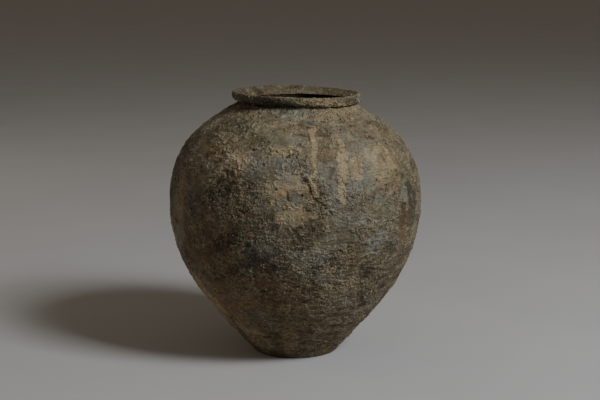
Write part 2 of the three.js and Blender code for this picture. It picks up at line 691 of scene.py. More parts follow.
class Net:
    """Makes and links the nodes of one tree, so that a recipe reads as a formula."""

    def __init__(self, tree: bpy.types.NodeTree) -> None:
        """Takes the tree that the nodes go into."""
        self.tree = tree

    def add(self, kind: str, **settings: object) -> bpy.types.Node:
        """Adds a node.

        Args:
            kind: Its type.
            **settings: Its properties.

        Returns:
            The node.
        """
        node = self.tree.nodes.new(kind)
        for name, value in settings.items():
            setattr(node, name, value)
        return node

    def feed(self, value: Value | Place | Colour, socket: Socket) -> None:
        """Links a socket to a value, or sets the value on it."""
        if isinstance(value, Socket):
            self.tree.links.new(value, socket)
        else:
            socket.default_value = value

    def math(self, operation: str, *values: Value, clamp: bool = False) -> Socket:
        """Does sums.

        Args:
            operation: What to do.
            *values: What to do it to.
            clamp: Whether to keep the result from 0 to 1.

        Returns:
            The result.
        """
        node = self.add("ShaderNodeMath", operation=operation, use_clamp=clamp)
        for value, socket in zip(values, node.inputs):
            self.feed(value, socket)
        return node.outputs[0]

    def times(self, a: Value, b: Value) -> Socket:
        """The product of two values."""
        return self.math("MULTIPLY", a, b)

    def plus(self, a: Value, *rest: Value) -> Socket:
        """Adds values up.

        Args:
            a: The first.
            *rest: The others.

        Returns:
            Their sum.
        """
        total = a
        for value in rest:
            total = self.math("ADD", total, value)
        return total

    def most(self, *values: Value) -> Socket:
        """Picks the largest of several values.

        Args:
            *values: The values.

        Returns:
            The largest.
        """
        top = values[0]
        for value in values[1:]:
            top = self.math("MAXIMUM", top, value)
        return top

    def ease(self, value: Value, low: float, high: float, start: float = 0.0, end: float = 1.0) -> Socket:
        """Runs smoothly from one value to another.

        Args:
            value: What drives it.
            low: Where it leaves start.
            high: Where it reaches end.
            start: The result below low.
            end: The result above high.

        Returns:
            The result.
        """
        node = self.add("ShaderNodeMapRange", interpolation_type="SMOOTHSTEP")
        if low > high:
            low, high, start, end = high, low, end, start
        for socket, each in zip(node.inputs, (value, low, high, start, end)):
            self.feed(each, socket)
        return node.outputs[0]

    def vector(self, operation: str, *values: Place | Value) -> Socket:
        """Does sums on places.

        Args:
            operation: What to do.
            *values: What to do it to.

        Returns:
            The resulting place, or number for a length or a dot product.
        """
        node = self.add("ShaderNodeVectorMath", operation=operation)
        sockets = [s for s in node.inputs if s.enabled]
        for value, socket in zip(values, sockets):
            self.feed(value, socket)
        return next(s for s in node.outputs if s.enabled)

    def shift(self, place: Place, by: Place) -> Socket:
        """A place moved along."""
        return self.vector("ADD", place, by)

    def squeeze(self, place: Place, by: Place) -> Socket:
        """A place with each of its axes scaled by its own share, which draws a pattern out the other way."""
        return self.vector("MULTIPLY", place, by)

    def scaled(self, way: Place, by: Value) -> Socket:
        """Makes an arrow longer or shorter.

        Args:
            way: The arrow.
            by: How many times as long it becomes.

        Returns:
            The new arrow.
        """
        node = self.add("ShaderNodeVectorMath", operation="SCALE")
        self.feed(way, node.inputs[0])
        self.feed(by, node.inputs["Scale"])
        return node.outputs[0]

    def bump(self, height: Value, strength: float, distance: float) -> Socket:
        """Shades a height.

        Args:
            height: The height.
            strength: How much of it shows.
            distance: How far one of it is.

        Returns:
            The shaded normal.
        """
        node = self.add("ShaderNodeBump")
        for name, value in (("Height", height), ("Strength", strength), ("Distance", distance)):
            self.feed(value, node.inputs[name])
        return node.outputs[0]

    def end(self, flow: Socket, finish: bpy.types.Material) -> None:
        """Ends a geometry tree with plain faces in one finish.

        Args:
            flow: The geometry.
            finish: The finish.
        """
        real = self.add("GeometryNodeRealizeInstances")
        self.feed(flow, real.inputs[0])
        paint = self.add("GeometryNodeSetMaterial")
        self.feed(real.outputs[0], paint.inputs["Geometry"])
        paint.inputs["Material"].default_value = finish
        self.feed(paint.outputs[0], self.add("NodeGroupOutput").inputs[0])

    def noise(self, place: Place, scale: float, detail: float = 2.0, rough: float = 0.5) -> Socket:
        """Cloudy noise about 0.5.

        Args:
            place: Where.
            scale: How many features there are to the metre.
            detail: How many finer layers it has.
            rough: How strong those are.

        Returns:
            The noise.
        """
        node = self.add("ShaderNodeTexNoise")
        for name, value in (("Vector", place), ("Scale", scale), ("Detail", detail), ("Roughness", rough)):
            self.feed(value, node.inputs[name])
        return node.outputs[0]

    def sway(self, place: Place, scale: float, size: float) -> Socket:
        """Moves a place about.

        Args:
            place: The place.
            scale: How many sways there are to the metre.
            size: How far it moves.

        Returns:
            The moved place.
        """
        node = self.add("ShaderNodeTexNoise")
        for name, value in (("Vector", place), ("Scale", scale), ("Detail", 2.0)):
            self.feed(value, node.inputs[name])
        centred = self.vector("SUBTRACT", node.outputs["Color"], (0.5, 0.5, 0.5))
        return self.vector("ADD", place, self.vector("MULTIPLY", centred, (size, size, size)))

    def blend(self, share: Value, under: Socket | Colour, over: Socket | Colour) -> Socket:
        """Lays one colour over another.

        Args:
            share: How much of the upper colour shows.
            under: The lower colour.
            over: The upper colour.

        Returns:
            The colour.
        """
        node = self.add("ShaderNodeMix", data_type="RGBA", blend_type="MIX")
        self.feed(share, node.inputs[0])
        self.feed(under, node.inputs[6])
        self.feed(over, node.inputs[7])
        return node.outputs[2]

    def own(self, name: str, kind: str = "FLOAT") -> Socket:
        """Reads one of the mesh's own values in a geometry tree.

        Args:
            name: The attribute's name.
            kind: Its data type.

        Returns:
            The value.
        """
        node = self.add("GeometryNodeInputNamedAttribute", data_type=kind)
        node.inputs["Name"].default_value = name
        return next(s for s in node.outputs if s.enabled)

    def kept(self, name: str) -> Socket:
        """Reads a value that the relief left on the mesh, in a material."""
        return self.add("ShaderNodeAttribute", attribute_name=name).outputs["Fac"]

    def about(self, value: Value) -> Socket:
        """Moves noise about a half to noise about nothing."""
        return self.math("SUBTRACT", value, 0.5)

    def rest(self, value: Value) -> Socket:
        """What is left of one."""
        return self.math("SUBTRACT", 1.0, value)

    def cells(self, place: Place, scale: float) -> tuple[Socket, Socket]:
        """Scattered cells.

        Args:
            place: Where.
            scale: How many cells there are to the metre.

        Returns:
            How far each place is from its cell's middle, and the cell's own random number.
        """
        node = self.add("ShaderNodeTexVoronoi")
        self.feed(place, node.inputs["Vector"])
        self.feed(scale, node.inputs["Scale"])
        split = self.add("ShaderNodeSeparateXYZ")
        self.feed(node.outputs["Color"], split.inputs[0])
        return node.outputs["Distance"], split.outputs[0]


def new_tree(name: str, sizes: dict[str, float | int]) -> bpy.types.NodeTree:
    """Starts a geometry tree.

    Args:
        name: Its name.
        sizes: The names of its inputs, each with a value of the kind that it takes.

    Returns:
        The tree, which takes a mesh and the sizes and gives a mesh.
    """
    tree = bpy.data.node_groups.new(name, "GeometryNodeTree")
    tree.interface.new_socket("Geometry", in_out="INPUT", socket_type="NodeSocketGeometry")
    for size, value in sizes.items():
        kind = "NodeSocketInt" if isinstance(value, int) else "NodeSocketFloat"
        tree.interface.new_socket(size, in_out="INPUT", socket_type=kind)
    tree.interface.new_socket("Geometry", in_out="OUTPUT", socket_type="NodeSocketGeometry")
    return tree


def new_material(name: str) -> tuple[bpy.types.Material, Net, bpy.types.Node, Socket]:
    """Starts a material.

    Args:
        name: Its name.

    Returns:
        The material, its net, its shader and the place that it is worked out for.
    """
    made = bpy.data.materials.new(name)
    made.use_nodes = True
    net = Net(made.node_tree)
    shader = made.node_tree.nodes["Principled BSDF"]
    return made, net, shader, net.add("ShaderNodeTexCoord").outputs["Object"]


def on_skin(line: WallLine, turn: float, height: float) -> Vector:
    """Finds a point of the jar's outside.

    Args:
        line: The wall's outline.
        turn: The point's turn.
        height: Its height.

    Returns:
        The point.
    """
    radius = float(np.interp(height, line.skin[:, 1], line.skin[:, 0]))
    if height > line.outline.neck_height:
        radius = line.outline.rim_radius
    angle = math.radians(turn)
    return Vector((radius * math.sin(angle), -radius * math.cos(angle), height))


# ---------------------------------------------------------------- the relief


@dataclass
class Relief:
    """The worked surface: wobble, lumps, daubed clay and its lips, grit, wrinkles, strokes, pits and scars.

    Each size is how far that feature stands proud or sinks.
    """

    line: WallLine
    wobble: float = 2.2 * MM
    lumps: float = 3.4 * MM
    daubs: float = 2.9 * MM
    lips: float = 2.7 * MM
    grit: float = 2.0 * MM
    wrinkles: float = 4.0 * MM
    strokes: float = 4.3 * MM
    pits: float = 2.2 * MM
    lean: float = 4.6 * MM
    packing: float = 6.5 * MM
    aside: float = 1.6 * MM
    inner: float = 3 * MM  # how uneven the inside is
    foot: float = 12 * MM  # the height over which the relief fades in above the floor
    reach: float = 0.12  # how deep into the jar a patch's oval reaches
    small: float = 0.0125  # a patch whose half width is under this is small

    def tree(self, finish: bpy.types.Material) -> bpy.types.NodeTree:
        """Writes the recipe as a node tree.

        Args:
            finish: The material it ends with.

        Returns:
            The tree, with an input for each size.
        """
        tree = new_tree("Relief", self.sizes())
        net = Net(tree)
        entry = net.add("NodeGroupInput")
        place = net.add("GeometryNodeInputPosition").outputs[0]
        strayed = net.sway(net.sway(place, 26, 0.034), 110, 0.010)
        marks = {mark: self._mark(net, mark, place, strayed) for mark in Mark}
        leaning = self._leaning(net, place, marks)
        marks[Mark.CRUST] = net.ease(leaning, 0.45, 0.60)
        skin = net.own(SKIN)
        height_up = net.vector("DOT_PRODUCT", place, UPWARD)
        share = net.times(net.ease(skin, 0, 1), net.ease(height_up, 0, self.foot))
        lips = net.times(self._lips(net, place, leaning), entry.outputs["Lips"])
        fine = net.plus(self._fine(net, entry, place, marks), lips)
        outside = net.plus(self._broad(net, entry, place), net.times(fine, MODELLED))
        drift = net.noise(net.squeeze(place, (1, 1, 2.4)), 20, 3)
        inside = net.times(net.about(drift), self.inner)
        height = net.plus(net.times(outside, share), net.times(inside, net.ease(skin, 0, -1)))
        offset = net.scaled(net.own(OUTWARD, "FLOAT_VECTOR"), height)
        offset = net.shift(offset, self._lean(net, entry, place))
        flow = entry.outputs["Geometry"]
        for mark in Mark:
            flow = self._store(net, flow, mark.value, net.times(marks[mark], share))
        flow = self._store(net, flow, RELIEF, net.times(net.times(fine, share), 1 / MM))
        move = net.add("GeometryNodeSetPosition")
        net.feed(flow, move.inputs["Geometry"])
        net.feed(offset, move.inputs["Offset"])
        net.end(move.outputs[0], finish)
        return tree

    def sizes(self) -> dict[str, float]:
        """The relief's sizes by the names of the tree's inputs."""
        return {
            "Wobble": self.wobble, "Lumps": self.lumps, "Daubs": self.daubs, "Lips": self.lips,
            "Grit": self.grit, "Wrinkles": self.wrinkles, "Strokes": self.strokes, "Pits": self.pits,
            "Lean": self.lean, "Packing": self.packing,
        }

    @staticmethod
    def _store(net: Net, flow: Socket, name: str, value: Socket) -> Socket:
        """Keeps a value on the mesh's points.

        Args:
            net: The tree's net.
            flow: The geometry.
            name: The attribute's name.
            value: The value.

        Returns:
            The geometry that carries it.
        """
        node = net.add("GeometryNodeStoreNamedAttribute", data_type="FLOAT", domain="POINT")
        net.feed(flow, node.inputs["Geometry"])
        node.inputs["Name"].default_value = name
        net.feed(value, node.inputs["Value"])
        return node.outputs[0]

    def _mark(self, net: Net, mark: Mark, place: Socket, strayed: Socket) -> Socket:
        """Covers a mark's patches, and scatters the same mark over the far side of the jar.

        Args:
            net: The tree's net.
            mark: The mark.
            place: Where.
            strayed: The same place, moved about so that edges come out ragged.

        Returns:
            How strong the mark is there, from 0 to 1.
        """
        seed = 7.3 * (1 + list(Mark).index(mark))
        cloud = net.noise(net.shift(place, (seed, seed, 0)), 9, 3, 0.6)
        behind = net.ease(net.vector("DOT_PRODUCT", place, BACKWARD), -0.07, 0.06)
        total = net.times(net.ease(cloud, 0.50, 0.66), net.plus(net.times(behind, 0.85), 0.12))
        nearby = net.sway(place, 120, 0.005)
        for patch in MARKS[mark]:
            total = net.most(total, self._patch(net, patch, nearby, strayed))
        return total

    def _patch(self, net: Net, patch: Patch, nearby: Socket, strayed: Socket) -> Socket:
        """Covers one patch.

        Args:
            net: The tree's net.
            patch: The patch.
            nearby: Where, moved about a little, for a small patch.
            strayed: Where, moved about more, for a large one.

        Returns:
            How strong the patch is there.
        """
        middle = on_skin(self.line, patch.turn, patch.height)
        small = min(patch.across, patch.tall) < self.small
        turned = net.add("ShaderNodeVectorRotate", rotation_type="Z_AXIS")
        from_middle = net.vector("SUBTRACT", nearby if small else strayed, tuple(middle))
        net.feed(from_middle, turned.inputs["Vector"])
        turned.inputs["Angle"].default_value = -math.radians(patch.turn)
        local = net.vector("DIVIDE", turned.outputs[0], (patch.across, self.reach, patch.tall))
        return net.ease(net.vector("LENGTH", local), 1.25, 0.6, 0.0, patch.strength)

    @staticmethod
    def _leaning(net: Net, place: Socket, marks: Marks) -> Socket:
        """Breaks the soft crust mark up.

        Args:
            net: The tree's net.
            place: Where.
            marks: The soft marks.

        Returns:
            A value that is above a half where the crust is left and below it where it is gone.
        """
        broken = net.noise(net.sway(place, 60, 0.012), 24, 6, 0.62)
        return net.plus(broken, net.times(marks[Mark.CRUST], 0.14), net.times(marks[Mark.BARE], -0.14))

    @staticmethod
    def _lips(net: Net, place: Socket, leaning: Socket) -> Socket:
        """The raised edges left where clay was daubed over clay, crisp here and worn away there.

        Args:
            net: The tree's net.
            place: Where.
            leaning: The broken crust, whose edge is one of the lips.

        Returns:
            How far the edges stand, from 0 to 1.
        """
        crisp = net.ease(net.noise(net.shift(place, (5, 5, 5)), 17, 3), 0.42, 0.58)
        rise, fall = net.ease(leaning, 0.500, 0.525), net.ease(leaning, 0.515, 0.600, 0.0, 0.7)
        total = net.times(net.math("SUBTRACT", rise, fall), crisp)
        for layer, level in ((2.0, 0.45), (6.0, 0.52), (9.0, 0.56)):
            flattened = net.squeeze(net.sway(place, 34, 0.016), (1, 1, 1.9))
            daub = net.noise(net.shift(flattened, (layer, 0, layer)), 21, 5, 0.60)
            rise, fall = net.ease(daub, level, level + 0.016), net.ease(daub, level + 0.010, level + 0.080)
            worn = net.ease(net.noise(net.shift(place, (0, layer, 1)), 26, 3), 0.44, 0.60)
            total = net.plus(total, net.times(net.math("SUBTRACT", rise, fall), worn))
        return total

    def _lean(self, net: Net, entry: bpy.types.Node, place: Socket) -> Socket:
        """Lets the lip sink on the right and packs grit into the crease below it.

        Args:
            net: The tree's net.
            entry: The tree's inputs.
            place: Where.

        Returns:
            How far the clay moves there, and which way.
        """
        height_up = net.vector("DOT_PRODUCT", place, UPWARD)
        side = net.vector("DOT_PRODUCT", place, RIGHTWARD)
        radius = net.vector("LENGTH", net.squeeze(place, LEVEL))
        mouth = net.times(net.ease(height_up, 0.430, 0.487), net.ease(radius, 0.100, 0.114))
        sunk = net.times(net.times(mouth, net.ease(side, -0.04, 0.10)), entry.outputs["Lean"])
        down = net.scaled((0, 0, -1), sunk)
        aside = net.scaled((self.aside, 0, 0), mouth)
        crease = net.times(net.ease(height_up, 0.466, 0.481), net.ease(height_up, 0.491, 0.484))
        clumps = net.ease(net.noise(place, 70, 4, 0.6), 0.25, 0.6)
        packed = net.times(net.times(crease, net.ease(radius, 0.100, 0.104)), net.ease(side, 0.0, 0.05))
        packed = net.times(net.times(packed, entry.outputs["Packing"]), clumps)
        out = net.scaled(net.vector("NORMALIZE", net.squeeze(place, LEVEL)), packed)
        return net.shift(net.shift(down, aside), out)

    def _broad(self, net: Net, entry: bpy.types.Node, place: Socket) -> Socket:
        """The jar's unevenness: a hand-built wobble, and lumps where the clay was beaten.

        Args:
            net: The tree's net.
            entry: The tree's inputs.
            place: Where.

        Returns:
            How far the surface stands proud.
        """
        wobble = net.about(net.noise(place, 5.5, 1))
        lumps = net.about(net.noise(net.shift(place, (3, 1, 2)), 26, 3, 0.5))
        return net.plus(
            net.times(wobble, entry.outputs["Wobble"]),
            net.times(lumps, entry.outputs["Lumps"]),
        )

    def _fine(self, net: Net, entry: bpy.types.Node, place: Socket, marks: Marks) -> Socket:
        """The small relief that light and dirt pick out.

        Args:
            net: The tree's net.
            entry: The tree's inputs.
            place: Where.
            marks: The marks.

        Returns:
            How far the surface stands proud.
        """
        crust, bare = marks[Mark.CRUST], marks[Mark.BARE]
        smooth = net.plus(net.times(bare, 0.7), net.times(marks[Mark.WIPED], 0.3))
        open_clay = net.rest(net.math("MINIMUM", smooth, 0.8))
        daubed = net.noise(net.sway(net.squeeze(place, (1, 1, 1.5)), 45, 0.018), 50, 6, 0.60)
        daubs = net.times(net.about(daubed), net.times(open_clay, net.plus(net.times(crust, 0.6), 0.6)))
        far, own = net.cells(net.sway(place, 300, 0.0016), 250)
        grain = net.times(net.ease(far, 0.60, 0.05), net.ease(own, 0.10, 0.80))
        grain = net.math("SUBTRACT", grain, 0.30)
        grit = net.times(net.times(grain, net.plus(net.times(crust, 0.92), 0.08)), open_clay)
        drawn_out = net.squeeze(net.sway(net.sway(place, 30, 0.020), 110, 0.006), (1, 1, 1.6))
        creased = net.noise(drawn_out, 64, 4, 0.60)
        crease = net.math("ABSOLUTE", net.times(net.about(creased), 7))
        wrinkle = net.math("SUBTRACT", net.most(net.math("SUBTRACT", 0.45, crease), 0.0), 0.10)
        rough = net.plus(net.times(marks[Mark.WRINKLED], 0.7), net.times(crust, 0.30), 0.30)
        wrinkles = net.times(net.times(wrinkle, rough), open_clay)
        rolled = net.squeeze(net.sway(place, 14, 0.016), (0.16, 0.16, 1))
        stroke = net.about(net.noise(rolled, 130, 4, 0.66))
        strokes = net.times(stroke, net.plus(net.times(marks[Mark.WIPED], 0.6), 0.45))
        hole, drawn = net.cells(net.sway(place, 150, 0.004), 60)
        pits = net.times(net.ease(hole, 0.17, 0.05), net.ease(drawn, 0.45, 0.6))
        sizes = entry.outputs
        total = net.plus(
            net.times(daubs, sizes["Daubs"]),
            net.times(grit, sizes["Grit"]),
            net.times(wrinkles, sizes["Wrinkles"]),
            net.times(strokes, sizes["Strokes"]),
            net.times(net.times(pits, sizes["Pits"]), -1.0),
        )
        strayed = net.sway(net.sway(place, 34, 0.016), 130, 0.006)
        for scar in SCARS:
            total = net.plus(total, self._scar(net, scar, strayed))
        return total

    def _scar(self, net: Net, scar: Scar, strayed: Socket) -> Socket:
        """Cuts or raises one scar.

        Args:
            net: The tree's net.
            scar: The scar.
            strayed: Where, moved about so that the scar wanders.

        Returns:
            How far the surface stands proud or is sunk.
        """
        start, end = on_skin(self.line, *scar.start), on_skin(self.line, *scar.end)
        run = end - start
        rest = net.vector("SUBTRACT", strayed, tuple(start))
        along = net.vector("DOT_PRODUCT", rest, tuple(run / run.length_squared))
        share = net.math("MULTIPLY", along, 1.0, clamp=True)
        nearest = net.scaled(tuple(run), share)
        gap = net.vector("LENGTH", net.vector("SUBTRACT", rest, nearest))
        return net.ease(gap, scar.width * 1.4, scar.width * 0.3, 0.0, scar.rise)


def grown(piece: bpy.types.Object, tree: bpy.types.NodeTree, sizes: dict[str, float]) -> None:
    """Runs a recipe on a piece and keeps the result as its mesh.

    Args:
        piece: The piece.
        tree: The recipe.
        sizes: The values of the recipe's named inputs.
    """
    recipe = piece.modifiers.new(tree.name, "NODES")
    recipe.node_group = tree
    for item in tree.interface.items_tree:
        if item.item_type == "SOCKET" and item.in_out == "INPUT" and item.name in sizes:
            recipe[item.identifier] = sizes[item.name]
    seen = bpy.context.evaluated_depsgraph_get()
    made = bpy.data.meshes.new_from_object(piece.evaluated_get(seen), depsgraph=seen)
    piece.modifiers.clear()
    old, piece.data = piece.data, made
    bpy.data.meshes.remove(old)
    made.name = piece.name


# ---------------------------------------------------------------- finishes


@dataclass(frozen=True)
class ClayFinish:
    """Unglazed dark clay, with what time has left on it.

    The colours are the clay's own and its stains'; the soot colour also serves as painted shade, and the tan
    and dust colours also as painted light. Each cover is how far a stain hides the clay, and the dust share
    is how pale dust and a painted highlight make what stands proud.
    """

    slot: Clay
    umber: Colour = (0.070, 0.052, 0.026, 1)
    olive: Colour = (0.166, 0.159, 0.111, 1)
    earth: Colour = (0.120, 0.080, 0.035, 1)
    slate: Colour = (0.158, 0.168, 0.150, 1)
    tan: Colour = (0.395, 0.300, 0.172, 1)
    rust: Colour = (0.205, 0.112, 0.046, 1)
    # soot: the colour of soot stains, also used as painted shade in the hollows and on the jar's sides
    soot_and_shade: Colour = (0.021, 0.015, 0.008, 1)
    # pale dust, also used as a painted highlight on what stands proud
    dust_and_highlight: Colour = (0.440, 0.380, 0.260, 1)
    dust_and_highlight_share: float = 0.36
    soot_and_shade_cover: float = 0.64
    slate_cover: float = 0.68
    rust_cover: float = 0.58
    tan_cover: float = 0.60

    def material(self) -> bpy.types.Material:
        """Writes the finish as a material.

        Returns:
            The material.
        """
        made, net, shader, place = new_material(self.slot.value)
        marks = {mark: net.kept(mark.value) for mark in Mark}
        relief = net.kept(RELIEF)
        skin = net.ease(net.kept(SKIN), -0.6, 0.6)
        fine = net.noise(place, 420, 4, 0.6)
        colour = self._ground(net, place, fine)
        outward = net.add("ShaderNodeAttribute", attribute_name=OUTWARD).outputs["Vector"]
        # settled dust and painted light from above: faces that look up are paled towards tan
        dust_and_top_light = net.ease(net.vector("DOT_PRODUCT", outward, UPWARD), 0.05, 0.80)
        dust_and_top_light = net.times(dust_and_top_light, net.ease(net.noise(place, 60, 5, 0.6), 0.30, 0.62))
        colour = net.blend(net.times(dust_and_top_light, 0.28), colour, self.tan)
        # painted shade: faces that look in towards the axis, as in the rim's funnel, are darkened towards
        # umber
        inward_shade = net.vector("DOT_PRODUCT", outward, net.squeeze(place, LEVEL))
        colour = net.blend(net.ease(inward_shade, -0.01, -0.05, 0.0, 0.40), colour, self.umber)
        colour = self._stains(net, place, marks, fine, colour)
        colour = self._weather(net, place, marks, relief, fine, colour)
        lining = net.blend(net.ease(net.noise(place, 30, 5, 0.6), 0.35, 0.65), self.umber, self.earth)
        net.feed(net.blend(skin, lining, colour), shader.inputs["Base Color"])
        matte = net.plus(net.times(net.noise(place, 170, 3, 0.6), 0.34), 0.60)
        net.feed(net.math("SUBTRACT", matte, net.times(marks[Mark.SLATE], 0.12)), shader.inputs["Roughness"])
        shader.inputs["Specular IOR Level"].default_value = 0.35
        net.feed(self._grain(net, place, marks, relief), shader.inputs["Normal"])
        return made

    def _ground(self, net: Net, place: Socket, fine: Socket) -> Socket:
        """The clay's own colour, clouded from umber to olive.

        Args:
            net: The material's net.
            place: Where.
            fine: Fine noise, which breaks the clouds' edges.

        Returns:
            The colour.
        """
        broad = net.noise(place, 13, 5, 0.62)
        mid = net.noise(net.shift(place, (4, 4, 4)), 70, 5, 0.65)
        cloud = net.plus(net.times(broad, 0.55), net.times(mid, 0.45))
        share = net.ease(net.plus(cloud, net.times(net.about(fine), 0.35)), 0.36, 0.66)
        clay = net.blend(share, self.umber, self.olive)
        height_up = net.vector("DOT_PRODUCT", place, UPWARD)
        uneven = net.times(net.about(net.noise(place, 9, 3)), 0.20)
        low = net.ease(net.plus(height_up, uneven), 0.27, 0.09)
        clay = net.blend(net.times(low, 0.65), clay, self.earth)
        reduced = net.noise(net.shift(place, (8, 3, 6)), 15, 5, 0.68)
        clay = net.blend(net.ease(reduced, 0.52, 0.66, 0.0, 0.70), clay, self.slate)
        return net.blend(net.ease(reduced, 0.46, 0.34, 0.0, 0.62), clay, self.earth)

    def _stains(
        self, net: Net, place: Socket, marks: Marks, fine: Socket, colour: Socket
    ) -> Socket:
        """Lays the coloured marks over the clay.

        Args:
            net: The material's net.
            place: Where.
            marks: The marks.
            fine: Fine noise, which breaks their edges.
            colour: The clay's colour.

        Returns:
            The stained colour.
        """
        run = net.noise(net.squeeze(place, (1, 1, 0.13)), 95, 4, 0.6)
        brushed = net.noise(net.squeeze(place, (0.14, 0.14, 1)), 260, 3, 0.6)
        ragged = net.about(net.noise(place, 46, 6, 0.70))
        broken = net.plus(net.times(ragged, 2.6), net.times(net.about(run), 1.0))
        # the soot layer is partly painted shade, and the tan layer partly painted light
        layers = (
            (Mark.SOOT_AND_SHADE, self.soot_and_shade, self.soot_and_shade_cover),
            (Mark.SLATE, self.slate, self.slate_cover),
            (Mark.RUST, self.rust, self.rust_cover),
            (Mark.TAN, self.tan, self.tan_cover),
        )
        for mark, stain, cover in layers:
            share = net.ease(net.plus(marks[mark], broken), 0.12, 1.00)
            colour = net.blend(net.times(share, cover), colour, stain)
        runs = net.times(net.ease(run, 0.52, 0.72), 0.30)
        colour = net.blend(runs, colour, self.umber)
        strokes = net.times(net.ease(brushed, 0.55, 0.75), 0.16)
        return net.blend(strokes, colour, self.tan)

    def _weather(
        self, net: Net, place: Socket, marks: Marks, relief: Socket, fine: Socket, colour: Socket
    ) -> Socket:
        """Paints shade into the hollows, pales what stands proud with dust and a painted highlight, and
        speckles the whole with pale grit.

        Args:
            net: The material's net.
            place: Where.
            marks: The marks.
            relief: How proud the surface stands there, in millimetres.
            fine: Fine noise.
            colour: The stained colour.

        Returns:
            The weathered colour.
        """
        buried = net.times(net.ease(marks[Mark.CRUST], 0.3, 0.9), 0.30)
        colour = net.blend(buried, colour, self.umber)
        tone = net.ease(net.noise(place, 320, 4, 0.75), 0.34, 0.66, 0.74, 1.26)
        streaks = net.plus(net.times(self._hatch(net, place), 1.5), 0.28)
        speckled = net.scaled(colour, net.times(tone, streaks))
        # painted shade: the relief's hollows are darkened towards the soot colour
        hollow_shade = net.ease(relief, 0.10, -1.00)
        colour = net.blend(net.times(hollow_shade, 0.80), speckled, self.soot_and_shade)
        # dust and a painted highlight on what stands proud
        ridge_dust_and_highlight = net.times(net.ease(relief, 0.35, 1.40), net.ease(fine, 0.38, 0.60))
        colour = net.blend(net.times(ridge_dust_and_highlight, self.dust_and_highlight_share), colour, self.dust_and_highlight)
        far, own = net.cells(net.sway(place, 500, 0.0008), 430)
        speck = net.times(net.ease(far, 0.42, 0.16), net.ease(own, 0.84, 0.95))
        speck = net.times(speck, net.plus(net.times(marks[Mark.CRUST], 0.6), 0.25))
        return net.blend(net.times(speck, 0.70), colour, self.dust_and_highlight)

    @staticmethod
    def _hatch(net: Net, place: Socket) -> Socket:
        """The strokes of the hand and the brush, drawn round the jar here and up and down there.

        Args:
            net: The material's net.
            place: Where.

        Returns:
            Streaky noise about 0.5.
        """
        bent = net.sway(net.sway(place, 22, 0.022), 70, 0.008)
        round_jar = net.noise(net.squeeze(bent, (0.16, 0.16, 1)), 330, 3, 0.62)
        upright = net.noise(net.squeeze(bent, (1, 1, 0.16)), 300, 3, 0.62)
        turn = net.ease(net.noise(net.shift(place, (2, 7, 2)), 15, 3), 0.44, 0.60)
        return net.plus(net.times(upright, turn), net.times(round_jar, net.rest(turn)))

    def _grain(self, net: Net, place: Socket, marks: Marks, relief: Socket) -> Socket:
        """The grain that is too fine for the mesh: sand, clods and strokes, and part of the relief.

        Args:
            net: The material's net.
            place: Where.
            marks: The marks.
            relief: How proud the surface stands there, in millimetres.

        Returns:
            The shaded normal.
        """
        sand = net.noise(place, 900, 3, 0.6)
        clods = net.noise(net.shift(place, (9, 2, 5)), 330, 3, 0.6)
        clods = net.times(clods, net.plus(net.times(marks[Mark.CRUST], 0.7), 0.5))
        strokes = net.times(self._hatch(net, place), 1.3)
        coat = net.plus(net.times(sand, 0.35), net.times(clods, 0.8), strokes)
        height = net.plus(net.times(coat, 1.9), net.times(relief, 1 - MODELLED))
        return net.bump(height, 1.0, 1 * MM)


# ---------------------------------------------------------------- loose grit


